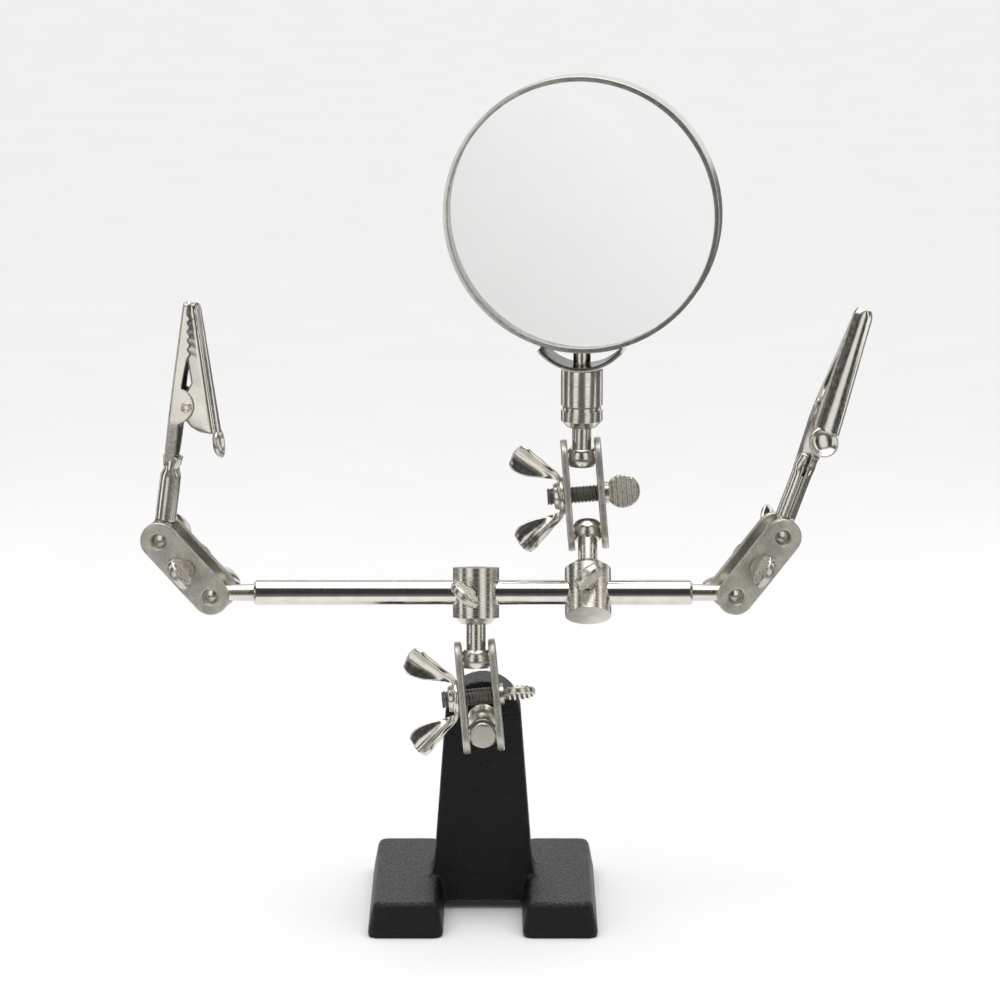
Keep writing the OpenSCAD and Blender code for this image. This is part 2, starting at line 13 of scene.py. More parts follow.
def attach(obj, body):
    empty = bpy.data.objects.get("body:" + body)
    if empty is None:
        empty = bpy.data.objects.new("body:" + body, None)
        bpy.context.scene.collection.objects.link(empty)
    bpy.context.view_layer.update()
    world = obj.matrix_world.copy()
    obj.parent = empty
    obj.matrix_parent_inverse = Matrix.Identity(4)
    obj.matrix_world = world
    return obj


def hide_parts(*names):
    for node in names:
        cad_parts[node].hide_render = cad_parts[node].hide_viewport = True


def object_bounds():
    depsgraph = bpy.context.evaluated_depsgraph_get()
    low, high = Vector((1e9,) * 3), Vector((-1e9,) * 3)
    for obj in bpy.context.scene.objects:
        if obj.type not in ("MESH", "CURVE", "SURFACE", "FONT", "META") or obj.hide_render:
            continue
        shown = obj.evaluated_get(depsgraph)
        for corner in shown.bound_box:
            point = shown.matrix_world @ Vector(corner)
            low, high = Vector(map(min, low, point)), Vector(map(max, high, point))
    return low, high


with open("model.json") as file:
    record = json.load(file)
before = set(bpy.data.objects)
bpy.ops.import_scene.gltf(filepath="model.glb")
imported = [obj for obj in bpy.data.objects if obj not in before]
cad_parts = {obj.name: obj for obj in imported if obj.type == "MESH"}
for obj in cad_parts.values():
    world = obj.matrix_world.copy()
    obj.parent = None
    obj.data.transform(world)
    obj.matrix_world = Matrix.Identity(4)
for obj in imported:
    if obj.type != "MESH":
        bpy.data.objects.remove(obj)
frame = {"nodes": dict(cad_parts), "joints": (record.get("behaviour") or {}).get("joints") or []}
cad_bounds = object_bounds()

MM = 0.001
NODES = frame["nodes"]
JOINTS = {j["name"]: j for j in frame["joints"]}
CLAMPS = (("lower", "clamp"), ("upper", "clamp"), ("left", "arm"), ("right", "arm"))
SIDES = ("left", "right")
PLATE_FACE = 4.72  # outer face of the nut side plate from the middle of its clamp
LENS_TURN = math.radians(-8.5)
LENS_REACH = 56.5  # ball to glass centre
SADDLE = (33.3, 12.3)  # height of the saddle's curve centre above the ball, radius of its middle, inside which painted shade darkens it
PIVOT = (2.4, 31.6)  # rivet in a clip's frame, X and Z
SHEET = 0.6  # clip sheet metal
WELD = 0.002 * MM  # points nearer than this are one

NICKEL = (0.71, 0.68, 0.62)
SATIN = (0.58, 0.555, 0.50)


# ---------- frames ----------
def place(origin, z, x):
    """Matrix of a local frame in mm: z along z, x as near x as it can be."""
    z = Vector(z).normalized()
    x = Vector(x)
    x = (x - z * x.dot(z)).normalized()
    m = Matrix((x, z.cross(x), z)).transposed().to_4x4()
    m.translation = Vector(origin)
    return m @ Matrix.Scale(MM, 4)


def joint_line(name):
    j = JOINTS[name]
    return Vector(j["pos_m"]), Vector(j["axis"]).normalized()


def nut_frame(side, kind):
    """Wing nut: its seat at the origin, +Z away from the plate, leaves along X."""
    bolt, axis = joint_line(side + "_wing_nut_turn")
    first_ball, _ = joint_line("%s_%s_tilt" % (side, kind))
    return place(bolt + axis * PLATE_FACE * MM, axis, bolt - first_ball)


def clip_frame(side):
    """Clip: its ball at the origin, jaws up +Z, lever on the +X side."""
    ball, axis = joint_line(side + "_clip_turn")
    rivet, _ = joint_line(side + "_clip_open")
    return place(ball, axis, rivet - ball)


def lens_frame():
    ball, axis = joint_line("magnifier_turn")
    return place(ball, axis, (math.cos(LENS_TURN), math.sin(LENS_TURN), 0))


# ---------- meshes ----------
def piece(name, verts, faces, local, body, material, slot, stands_for=()):
    mesh = bpy.data.meshes.new(name)
    mesh.from_pydata([local @ Vector(v) for v in verts], [], faces)
    mesh.validate()
    mesh.polygons.foreach_set("use_smooth", [True] * len(mesh.polygons))
    obj = bpy.data.objects.new(name, mesh)
    bpy.context.scene.collection.objects.link(obj)
    obj.data.materials.append(material)
    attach(obj, body)
    if stands_for:
        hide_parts(*stands_for)
    return obj


def grid(rows, cols, around=False, start=0):
    """Quads over rows of cols points; around joins the last column to the first."""
    span = cols if around else cols - 1
    return [
        (start + r * cols + c, start + r * cols + (c + 1) % cols,
         start + (r + 1) * cols + (c + 1) % cols, start + (r + 1) * cols + c)
        for r in range(rows - 1) for c in range(span)
    ]


def lathe(profile, segments=64, closed=True):
    """(verts, faces) of a profile of (radius, height) turned about Z."""
    verts = [
        (r * math.cos(2 * math.pi * s / segments), r * math.sin(2 * math.pi * s / segments), h)
        for r, h in profile for s in range(segments)
    ]
    faces = grid(len(profile), segments, around=True)
    if closed:
        last = (len(profile) - 1) * segments
        faces += [(last + s, last + (s + 1) % segments, (s + 1) % segments, s) for s in range(segments)]
    return verts, faces


def tube(points, radius, sides=10):
    """(verts, faces) of a round wire through points."""
    verts = []
    for i, p in enumerate(points):
        ahead = (points[min(i + 1, len(points) - 1)] - points[max(i - 1, 0)]).normalized()
        across = ahead.cross(Vector((0, 1, 0.01))).normalized()
        up = across.cross(ahead)
        for k in range(sides):
            a = 2 * math.pi * k / sides
            verts.append(tuple(p + radius * (math.cos(a) * across + math.sin(a) * up)))
    faces = grid(len(points), sides, around=True)
    last = (len(points) - 1) * sides
    faces += [tuple(range(sides))[::-1], tuple(range(last, last + sides))]
    return verts, faces


def merged(*parts):
    """One (verts, faces) from several."""
    verts, faces = [], []
    for v, f in parts:
        faces += [tuple(i + len(verts) for i in face) for face in f]
        verts += v
    return verts, faces


def along(stops, t):
    """Smooth value at t from stops of (t, value), each value a number or a tuple."""
    if isinstance(stops[0][1], tuple):
        return tuple(along([(at, v[i]) for at, v in stops], t) for i in range(len(stops[0][1])))
    slopes = []
    for i in range(len(stops)):
        (a, va), (b, vb) = stops[max(i - 1, 0)], stops[min(i + 1, len(stops) - 1)]
        slopes.append((vb - va) / (b - a))
    for i in range(len(stops) - 1):
        (a, va), (b, vb) = stops[i], stops[i + 1]
        if t <= b or i == len(stops) - 2:
            w = b - a
            k = min(1.0, max(0.0, (t - a) / w))
            return ((1 + 2 * k) * (1 - k) ** 2 * va + k * (1 - k) ** 2 * w * slopes[i]
                    + k * k * (3 - 2 * k) * vb + k * k * (k - 1) * w * slopes[i + 1])


def straight(stops, t):
    """Straight line value at t from stops of (t, value)."""
    for (a, va), (b, vb) in zip(stops, stops[1:]):
        if t <= b:
            return va + (vb - va) * max(0.0, (t - a) / (b - a))
    return stops[-1][1]


def modify(obj, kind, **settings):
    m = obj.modifiers.new(kind.lower(), kind)
    for key, value in settings.items():
        setattr(m, key, value)
    return m


# ---------- materials ----------
class Shader:
    """Short calls for building a node material."""

    def __init__(self, name):
        self.material = bpy.data.materials.new(name)
        self.material.use_nodes = True
        self.tree = self.material.node_tree
        self.surface = self.tree.nodes["Principled BSDF"]
        self.out = self.tree.nodes["Material Output"]
        self.place = self.node("ShaderNodeTexCoord").outputs["Object"]

    def node(self, kind, inputs=None, **settings):
        n = self.tree.nodes.new(kind)
        for key, value in settings.items():
            setattr(n, key, value)
        for key, value in (inputs or {}).items():
            self.set(n.inputs[key], value)
        return n

    def set(self, socket, value):
        if isinstance(value, bpy.types.NodeSocket):
            self.tree.links.new(value, socket)
        else:
            socket.default_value = value

    def shade(self, **values):
        for key, value in values.items():
            self.set(self.surface.inputs[key.replace("_", " ")], value)

    def noise(self, size_mm, detail=3.0, at=None):
        """Noise whose spots are about size_mm across."""
        return self.node("ShaderNodeTexNoise", {
            "Vector": at or self.place, "Scale": 1 / (size_mm * MM), "Detail": detail,
        }).outputs["Fac"]

    def spread(self, value, low, high, at=(0.3, 0.7)):
        """value, from the range at, onto low to high."""
        return self.node("ShaderNodeMapRange", {
            "Value": value, "From Min": at[0], "From Max": at[1], "To Min": low, "To Max": high,
        }).outputs["Result"]

    def tone(self, value, dark, light, at=(0.3, 0.7)):
        ramp = self.node("ShaderNodeValToRGB", {"Fac": value})
        ramp.color_ramp.elements[0].position, ramp.color_ramp.elements[1].position = at
        ramp.color_ramp.elements[0].color = (*dark, 1)
        ramp.color_ramp.elements[1].color = (*light, 1)
        return ramp.outputs["Color"]

    def math(self, operation, a, b=0.0):
        n = self.node("ShaderNodeMath", operation=operation)
        self.set(n.inputs[0], a)
        self.set(n.inputs[1], b)
        return n.outputs[0]

    def vector(self, operation, a, b):
        n = self.node("ShaderNodeVectorMath", operation=operation)
        self.set(n.inputs[0], a)
        self.set(n.inputs[1], b)
        return n

    def bump(self, height, depth_mm, under=None):
        inputs = {"Height": height, "Distance": depth_mm * MM, "Strength": 1.0}
        if under:
            inputs["Normal"] = under
        return self.node("ShaderNodeBump", inputs).outputs["Normal"]

    def mix(self, factor, a, b):
        n = self.node("ShaderNodeMix", data_type="RGBA")
        self.set(n.inputs["Factor"], factor)
        self.set(n.inputs["A"], a)
        self.set(n.inputs["B"], b)
        return n.outputs["Result"]


def scaled(colour, k):
    return tuple(c * k for c in colour)


def plain_metal(name, colour, rough, grain_mm, depth_mm, speckle=0.04):
    """Plated metal with a soft mottle, spots of grain_mm and a bump of depth_mm."""
    s = Shader(name)
    grain = s.noise(grain_mm)
    mottle = s.noise(grain_mm * 14, 2.0)
    both = s.math("ADD", s.math("MULTIPLY", mottle, 0.5), s.math("MULTIPLY", grain, 0.5))
    s.shade(
        Base_Color=s.tone(both, scaled(colour, 0.9 - speckle), scaled(colour, 1.05 + speckle), (0.36, 0.64)),
        Metallic=1.0,
        Roughness=s.spread(grain, rough[0], rough[1]),
        Normal=s.bump(grain, depth_mm),
    )
    return s.material


def turned_metal(name, colour, rough, origin, axis, ring_mm=0.35, ring_depth=0.004):
    """Lathe turned metal: rings and streaks of shine about an axis."""
    s = Shader(name)
    arm = s.vector("SUBTRACT", s.place, tuple(origin)).outputs["Vector"]
    height = s.math("DIVIDE", s.vector("DOT_PRODUCT", arm, tuple(axis)).outputs["Value"], MM)
    rings = s.node("ShaderNodeTexNoise", {"W": s.math("DIVIDE", height, ring_mm), "Scale": 1.0,
                                          "Detail": 2.0}, noise_dimensions="1D").outputs["Fac"]
    mottle = s.noise(3.0, 3.0)
    s.shade(
        Base_Color=s.tone(mottle, scaled(colour, 0.9), scaled(colour, 1.05)),
        Metallic=1.0,
        Roughness=s.spread(rings, rough[0], rough[1]),
        Anisotropic=0.45,
        Tangent=s.vector("CROSS_PRODUCT", tuple(axis), arm).outputs["Vector"],
        Normal=s.bump(rings, ring_depth, s.bump(s.noise(0.25), 0.003)),
    )
    return s.material


def shaded_sheet(name, colour, local, axis_z, middle_mm):
    """Bright sheet bent about an axis at height axis_z, with painted shade darkening it inside of middle_mm
    from it.
    """
    s = Shader(name)
    grain = s.noise(1.2)
    arm = s.vector("SUBTRACT", s.place, tuple(local @ Vector((0, 0, axis_z)))).outputs["Vector"]
    parts = []
    for way in ((1, 0, 0), (0, 0, 1)):
        direction = (local.to_3x3() @ Vector(way)).normalized()
        part = s.vector("DOT_PRODUCT", arm, tuple(direction)).outputs["Value"]
        parts.append(s.math("MULTIPLY", part, part))
    reach = s.math("SQRT", s.math("ADD", *parts))
    # painted shade: the inner side of the bend is coloured dark
    painted_shade = s.spread(reach, 1.0, 0.0, ((middle_mm - 0.2) * MM, middle_mm * MM))
    s.shade(
        Base_Color=s.mix(painted_shade, s.tone(grain, scaled(colour, 0.92), colour), (0.10, 0.095, 0.085, 1)),
        Metallic=1.0,
        Roughness=s.spread(grain, 0.16, 0.26),
        Normal=s.bump(grain, 0.004),
    )
    return s.material


def black_paint():
    """Thick black paint with a fine orange peel and pale dust specks."""
    s = Shader("black_paint")
    peel = s.node("ShaderNodeTexVoronoi", {"Vector": s.place, "Scale": 1 / (0.75 * MM)}).outputs["Distance"]
    grain = s.noise(0.4, 4.0)
    specks = s.noise(0.45, 2.0)
    up = s.node("ShaderNodeSeparateXYZ", {"Vector": s.node("ShaderNodeNewGeometry").outputs["Normal"]})
    faces_up = s.spread(up.outputs["Z"], 0.0, 1.0, (0.35, 0.95))
    dust = s.math("MULTIPLY", s.spread(specks, 0.0, 1.0, (0.52, 0.66)), faces_up)
    base = s.mix(dust, (0.0032, 0.0032, 0.0035, 1), (0.10, 0.10, 0.102, 1))
    s.shade(
        Base_Color=base,
        Roughness=s.spread(grain, 0.32, 0.5),
        Specular_IOR_Level=0.27,
        Normal=s.bump(peel, 0.16, s.bump(grain, 0.2)),
    )
    return s.material


def clear_glass(middle, lean, reach):
    """Glass with a soft sheen and a painted reflection, a shade darker on one side; lamps pass it, so that
    its shadow stays pale.

    The painted reflection darkens the glass from the middle against the direction lean, over reach in
    metres.
    """
    s = Shader("lens_glass")
    arm = s.vector("SUBTRACT", s.place, tuple(middle)).outputs["Vector"]
    side = s.vector("DOT_PRODUCT", arm, tuple(lean)).outputs["Value"]
    # painted reflection: the glass is tinted darker against the direction lean
    shade = s.spread(side, 0.0, 1.0, (-0.9 * reach, 0.6 * reach))
    painted_reflection_level = s.math("ADD", shade, s.spread(s.noise(9.0, 2.0), -0.03, 0.03))
    painted_reflection_tint = s.tone(painted_reflection_level, (0.93, 0.932, 0.928), (1.0, 1.0, 1.0), (0.0, 1.0))
    bent = s.node("ShaderNodeBsdfRefraction", {"Color": painted_reflection_tint, "Roughness": 0.0, "IOR": 1.5})
    sheen = s.node("ShaderNodeBsdfGlossy", {"Color": (0.9, 0.9, 0.9, 1), "Roughness": 0.45})
    rate = s.math("MULTIPLY", s.node("ShaderNodeFresnel", {"IOR": 1.5}).outputs["Fac"], 0.6)
    glass = s.node("ShaderNodeMixShader", {0: rate, 1: bent.outputs["BSDF"], 2: sheen.outputs["BSDF"]})
    clear = s.node("ShaderNodeBsdfTransparent", {"Color": (0.93, 0.935, 0.935, 1)})
    shadow = s.node("ShaderNodeLightPath").outputs["Is Shadow Ray"]
    mix = s.node("ShaderNodeMixShader", {0: shadow, 1: glass.outputs["Shader"], 2: clear.outputs["BSDF"]})
    s.set(s.out.inputs["Surface"], mix.outputs["Shader"])
    s.tree.nodes.remove(s.surface)
    return s.material


def turned_about(joint, name, colour=NICKEL, rough=(0.16, 0.3), **more):
    origin, axis = joint_line(joint)
    return turned_metal(name, colour, rough, origin, axis, **more)


# ---------- CAD nodes ----------
def finish_node(node, material, edge_mm):
    """Rounded edges and a material on a CAD node."""
    obj = NODES[node]
    obj.data.materials.clear()
    obj.data.materials.append(material)
    mesh = obj.data
    if "custom_normal" in mesh.attributes:
        mesh.attributes.remove(mesh.attributes["custom_normal"])
    for flag in ("sharp_edge", "sharp_face"):
        if flag in mesh.attributes:
            mesh.attributes.remove(mesh.attributes[flag])
    modify(obj, "WELD", merge_threshold=WELD)
    modify(obj, "BEVEL", width=edge_mm * MM, segments=3, limit_method="ANGLE",
           angle_limit=math.radians(28), use_clamp_overlap=True)
    modify(obj, "EDGE_SPLIT", split_angle=math.radians(34), use_edge_sharp=False)
    modify(obj, "WEIGHTED_NORMAL", weight=50)


def dress_casting():
    """Casting with soft corners: a fine remesh of the CAD shape, smoothed."""
    obj = NODES["base_casting"]
    obj.data.materials.clear()
    obj.data.materials.append(black_paint())
    modify(obj, "WELD", merge_threshold=WELD)
    modify(obj, "REMESH", mode="VOXEL", voxel_size=0.45 * MM, use_smooth_shade=True)
    modify(obj, "SMOOTH", factor=0.5, iterations=6)


def dress_base():
    dress_casting()
    steel = turned_about("base_stud_turn", "plain_steel", (0.52, 0.51, 0.49), (0.25, 0.4))
    finish_node("base_stud_washer", steel, 0.12)
    finish_node("base_stud_nut", steel, 0.25)
    finish_node("base_ball_stud", turned_about("base_stud_turn", "base_stud_nickel"), 0.12)


def dress_chain():
    swivel = turned_about("center_swivel_turn", "center_turned")
    magnifier = turned_about("magnifier_stud_turn", "magnifier_turned")
    finish_node("center_swivel_stud", swivel, 0.12)
    finish_node("center_swivel_body", swivel, 0.25)
    finish_node("magnifier_swivel_stud", magnifier, 0.12)
    finish_node("magnifier_swivel_body", magnifier, 0.25)
    bar = turned_about("left_stud_turn", "bar_nickel", (0.76, 0.735, 0.68), (0.09, 0.15),
                       ring_mm=0.6, ring_depth=0.002)
    finish_node("crossbar", bar, 0.2)
    ends = turned_about("left_stud_turn", "bar_end_nickel", NICKEL, (0.14, 0.24))
    finish_node("crossbar_left_stud", ends, 0.12)
    finish_node("crossbar_right_stud", ends, 0.12)


def dress_magnifier():
    stem = turned_about("magnifier_turn", "lens_turned", NICKEL, (0.14, 0.26), ring_mm=0.5, ring_depth=0.006)
    finish_node("lens_stud", stem, 0.12)
    finish_node("lens_holder", stem, 0.2)
    sheet = plain_metal("rim_nickel", (0.76, 0.735, 0.68), (0.16, 0.26), 1.2, 0.004)
    # the saddle's inner side carries painted shade
    saddle = shaded_sheet("saddle_nickel", (0.76, 0.735, 0.68), lens_frame(), *SADDLE)
    finish_node("lens_saddle", saddle, 0.25)
    finish_node("lens_rim", sheet, 0.18)


def dress_clips():
    for side in SIDES:
        stud = turned_about(side + "_clip_turn", side + "_clip_stud_nickel")
        finish_node(side + "_clip_stud", stud, 0.12)


# ---------- plates ----------
PLATE = {"half": 4.35, "pitch": 17.2, "thick": 1.6, "edge": 0.42, "from_middle": 3.9,
         "ball_hole": 1.75, "bolt_hole": 2.05}


def ring(curve, points):
    spline = curve.splines.new("POLY")
    spline.points.add(len(points) - 1)
    spline.points.foreach_set("co", [v for x, y in points for v in (x, y, 0, 1)])
    spline.use_cyclic_u = True


def circle(middle, radius, first=0.0, last=360.0, steps=48):
    span = [math.radians(first + (last - first) * i / steps) for i in range(steps + (last - first < 360))]
    return [(radius * math.cos(a), middle + radius * math.sin(a)) for a in span]


def plate_mesh():
    """Flat bar with round ends, three holes and tumbled edges: first ball at the origin, long way up Y."""
    curve = bpy.data.curves.new("plate_outline", "CURVE")
    curve.dimensions, curve.fill_mode = "2D", "BOTH"
    pitch, edge = PLATE["pitch"], PLATE["edge"]
    ring(curve, circle(0, PLATE["half"], 180, 360) + circle(pitch, PLATE["half"], 0, 180))
    for y, r in ((0, PLATE["ball_hole"]), (pitch, PLATE["ball_hole"]), (pitch / 2, PLATE["bolt_hole"])):
        ring(curve, circle(y, r))
    curve.bevel_depth, curve.bevel_resolution, curve.offset = edge, 3, -edge
    curve.extrude = PLATE["thick"] / 2 - edge
    obj = bpy.data.objects.new("plate_outline", curve)
    bpy.context.scene.collection.objects.link(obj)
    bpy.context.view_layer.update()
    mesh = bpy.data.meshes.new_from_object(obj.evaluated_get(bpy.context.evaluated_depsgraph_get()))
    verts = [tuple(v.co) for v in mesh.vertices]
    faces = [tuple(p.vertices) for p in mesh.polygons]
    bpy.data.objects.remove(obj)
    return verts, faces


def plates():
    metal = plain_metal("tumbled_nickel", SATIN, (0.28, 0.46), 0.3, 0.07, speckle=0.22)
    verts, faces = plate_mesh()
    names = {"clamp": ("right_plate", "left_plate"), "arm": ("front_plate", "back_plate")}
    for side, kind in CLAMPS:
        ball, _ = joint_line("%s_%s_tilt" % (side, kind))
        bolt, axis = joint_line(side + "_bolt_turn")
        local = place(ball, bolt - ball, axis)
        for name, way in zip(names[kind], (1, -1)):
            turned = [(way * PLATE["from_middle"] + z, x, y) for x, y, z in verts]
            body = "%s_%s" % (side, kind)
            plate = piece("%s_%s_sheet" % (side, name), turned, faces, local, body, metal, "tumbled_nickel",
                          ("%s_%s_%s" % (side, kind, name),))
            modify(plate, "WELD", merge_threshold=WELD)
            modify(plate, "EDGE_SPLIT", split_angle=math.radians(40), use_edge_sharp=False)
            modify(plate, "WEIGHTED_NORMAL", weight=50)


# ---------- thumb bolts and screws ----------
THUMB = {"radius": 3.9, "core": 0.8, "ridge": 0.32, "ridges": 7, "edge": 0.35}
THREAD = {"radius": 2.0, "pitch": 0.8, "depth": 0.3, "tail": 3.9}
STEM = {"radius": 2.5, "length": 0.9}  # under a clamp bolt's head
SHANK = {"radius": 1.5, "length": 1.7, "in_head": 0.9}  # of a swivel's thumb screw


def head_frame(node, joint):
    """Thumb head: its centre at the origin, +X along the bolt, +Z across its flat faces."""
    origin, axis = joint_line(joint)
    cad = NODES[node]
    points = [cad.matrix_world @ v.co - origin for v in cad.data.vertices]
    top = max(p.dot(axis) for p in points)
    points = [p for p in points if p.dot(axis) > top - 1.6 * THUMB["radius"] * MM]
    first = axis.orthogonal().normalized()
    second = axis.cross(first)

    def across(degrees):
        a = math.radians(degrees)
        return first * math.cos(a) + second * math.sin(a)

    def width(degrees):
        reach = [p.dot(across(degrees)) for p in points]
        return max(reach) - min(reach)

    flat = across(min(range(180), key=width))
    return place(origin + axis * (top - THUMB["radius"] * MM), flat, axis)


def capped(verts, faces, sides):
    """Closes both ends of rows of sides points, the first end facing back."""
    last = len(verts) - sides
    return verts, faces + [tuple(range(sides))[::-1], tuple(range(last, last + sides))]


def thumb_head(rows=112, steps=24):
    """Coin with ridges across both faces and a rounded edge, in slices along the bolt."""
    radius, core, edge = THUMB["radius"], THUMB["core"], THUMB["edge"]

    def height(x, y):
        inside = max(0.0, radius - math.hypot(x, y))
        wave = 0.5 + 0.5 * math.cos(math.pi * THUMB["ridges"] * x / radius)
        fade = min(1.0, max(0.0, inside / edge - 0.5))
        round_off = edge - min(edge, inside)
        return core - edge + math.sqrt(edge ** 2 - round_off ** 2) + THUMB["ridge"] * wave * fade

    verts = []
    for i in range(rows + 1):
        x = -radius * math.cos(math.pi * i / rows)
        chord = max(0.05, math.sqrt(max(0.0, radius ** 2 - x * x)))
        upper = [chord * math.cos(math.pi * j / steps) for j in range(steps + 1)]
        verts += [(x, y, height(x, y)) for y in upper] + [(x, -y, -height(x, y)) for y in upper]
    sides = 2 * (steps + 1)
    return capped(verts, grid(rows + 1, sides, around=True), sides)


def rod(radius, start, end, sides=40):
    """Plain round stem along +X."""
    verts, faces = capped(*lathe([(radius, start), (radius, end)], sides, closed=False), sides)
    return [(z, y, -x) for x, y, z in verts], faces


def thread(start, end, sides=24, steps=8):
    """Round thread along +X, with closed ends."""
    rows = int((end - start) / THREAD["pitch"] * steps)
    verts = []
    for i in range(rows + 1):
        for k in range(sides):
            r = THREAD["radius"] - THREAD["depth"] * abs(2 * ((i / steps - k / sides) % 1.0) - 1)
            a = 2 * math.pi * k / sides
            verts.append((start + (end - start) * i / rows, r * math.cos(a), r * math.sin(a)))
    return capped(verts, grid(rows + 1, sides, around=True), sides)


def thumb_screws():
    bright = plain_metal("thumb_nickel", (0.62, 0.59, 0.53), (0.2, 0.32), 0.5, 0.006)
    dark = plain_metal("oiled_thread", (0.20, 0.19, 0.175), (0.26, 0.4), 0.4, 0.01)
    foot = -THUMB["radius"] - 0.3  # stem's foot on the plate, from the head's centre

    def screw(node, body, joint, stem):
        local = head_frame(node, joint)
        for part, mesh in (("head", thumb_head()), ("stem", rod(*stem))):
            obj = piece("%s_%s" % (body, part), *mesh, local, body, bright, "bright_nickel", (node,))
            modify(obj, "EDGE_SPLIT", split_angle=math.radians(50), use_edge_sharp=False)
        return local

    for side, kind in CLAMPS:
        node, body = "%s_%s_bolt" % (side, kind), side + "_bolt"
        local = screw(node, body, body + "_turn", (STEM["radius"], foot, foot + STEM["length"]))
        turns = thread(foot - 2 * PLATE_FACE - THREAD["tail"], foot + STEM["length"] / 2)
        piece(body + "_thread", *turns, local, body, dark, "zinc_steel", (node,))
    for node, body, joint in (("center_swivel_screw", "center_screw", "center_screw_turn"),
                              ("magnifier_swivel_screw", "mag_screw", "magnifier_screw_turn")):
        screw(node, body, joint, (SHANK["radius"], foot - SHANK["length"], foot + SHANK["in_head"]))


# ---------- wing nuts ----------
LEAF_PATH = ((0.0, (2.2, 0.62)), (0.18, (3.9, 0.8)), (0.34, (5.2, 1.9)), (0.55, (6.9, 4.6)),
             (0.78, (8.9, 7.8)), (1.0, (11.2, 10.6)))
LEAF_HALF = ((0.0, 3.1), (0.2, 2.6), (0.45, 2.1), (0.68, 3.0), (0.88, 3.5), (1.0, 2.9))
LEAF_TWIST = ((0.0, 0.0), (0.2, 2.0), (0.55, 46.0), (0.8, 57.0), (1.0, 58.0))
LEAF_CUP = ((0.0, 0.0), (0.25, 0.2), (0.55, 1.2), (0.8, 1.9), (1.0, 1.5))


def leaf(mirror, rows=33, cols=11):
    """Stamped strip that twists out of the hub into a cupped leaf."""
    verts = []
    for r in range(rows):
        t = r / (rows - 1)
        x, z = along(LEAF_PATH, t)
        before, after = along(LEAF_PATH, max(0.0, t - 0.02)), along(LEAF_PATH, min(1.0, t + 0.02))
        ahead = Vector((after[0] - before[0], 0, after[1] - before[1])).normalized()
        side = Vector((-ahead.z, 0, ahead.x))
        turn = math.radians(along(LEAF_TWIST, t))
        y = Vector((0, 1, 0))
        wide = y * math.cos(turn) + side * math.sin(turn)
        out = side * math.cos(turn) - y * math.sin(turn)
        middle = Vector((x, 0, z)) + y * 0.6 * math.sin(turn)
        for c in range(cols):
            u = 2 * c / (cols - 1) - 1
            back = 0.7 * max(0.0, t - 0.8) / 0.2 * u * u  # rounds the tip's corners
            p = middle - ahead * back + wide * u * along(LEAF_HALF, t) + out * along(LEAF_CUP, t) * u * u
            verts.append((-p.x if mirror else p.x, p.y, p.z))
    faces = grid(rows, cols)
    return verts, [f[::-1] for f in faces] if mirror else faces


def wing_nuts():
    metal = plain_metal("wing_nickel", (0.72, 0.69, 0.63), (0.13, 0.24), 0.9, 0.012)
    hub = [(2.1, 0.02), (4.2, 0.02), (4.35, 0.25), (4.3, 0.8), (3.7, 1.15), (3.15, 1.35), (2.95, 2.2),
           (2.75, 2.4), (2.1, 2.4)]
    for side, kind in CLAMPS:
        local = nut_frame(side, kind)
        node, body = "%s_%s_wing_nut" % (side, kind), side + "_wing_nut"
        leaves = piece(side + "_wing_leaves", *merged(leaf(False), leaf(True)), local, body, metal,
                       "bright_nickel", (node,))
        modify(leaves, "SOLIDIFY", thickness=1.0 * MM, offset=0.0)
        modify(leaves, "BEVEL", width=0.3 * MM, segments=3, limit_method="ANGLE")
        boss = piece(side + "_wing_hub", *lathe(hub), local, body, metal, "bright_nickel", (node,))
        modify(boss, "BEVEL", width=0.12 * MM, segments=2, limit_method="ANGLE")


# ---------- clips ----------
TOOTH_Z, TOOTH_TOP, TEETH, TOOTH_H = 42.8, 52.8, 5, 0.75
LEVER = ((26.6, 9.3), (54.4, 1.2))  # line of the lever's back as (Z, X), pad end first
TOOTH_GAP = 0.06  # from each jaw's teeth to the toothed line they share
EAR = 4.0  # radius of the jaw's ears about the rivet


def tooth_x(z):
    """X of the toothed line at height z."""
    k = (z - TOOTH_Z) / (TOOTH_TOP - TOOTH_Z)
    saw = abs((k * TEETH + 0.5) % 1.0 - 0.5) * 2
    return 1.1 - 1.5 * k + TOOTH_H * saw


def channel(rows, bulge, corner=0.5, arc=7, wall=6):
    """Sheet bent to a channel, from rows of (back x, z, half width, wall's edge x, edge half width)."""
    verts, cols = [], 0
    for back, z, half, edge, edge_half in rows:
        inward = 1.0 if edge > back else -1.0
        right = []
        for i in range(wall):  # wall, from its edge to the corner
            k = i / wall
            right.append((edge + (back + inward * corner - edge) * k, edge_half + (half - edge_half) * k))
        for i in range(3):  # corner
            a = math.pi / 2 * i / 3
            right.append((back + inward * corner * (1 - math.sin(a)), half - corner * (1 - math.cos(a))))
        for i in range(arc - 1):  # back, with its bulge, up to its middle
            u = 1 - i / (arc - 1)
            right.append((back - inward * bulge * (1 - u * u), (half - corner) * u))
        left = [(x, -y) for x, y in right[::-1]]
        full = right + [(back - inward * bulge, 0.0)] + left
        cols = len(full)
        verts += [(x, y, z) for x, y in full]
    return verts, grid(len(rows), cols)


def heights(*spans):
    """Heights from spans of (start, end, steps)."""
    values = []
    for start, end, steps in spans:
        values += [start + (end - start) * i / steps for i in range(steps)]
    return values + [spans[-1][1]]


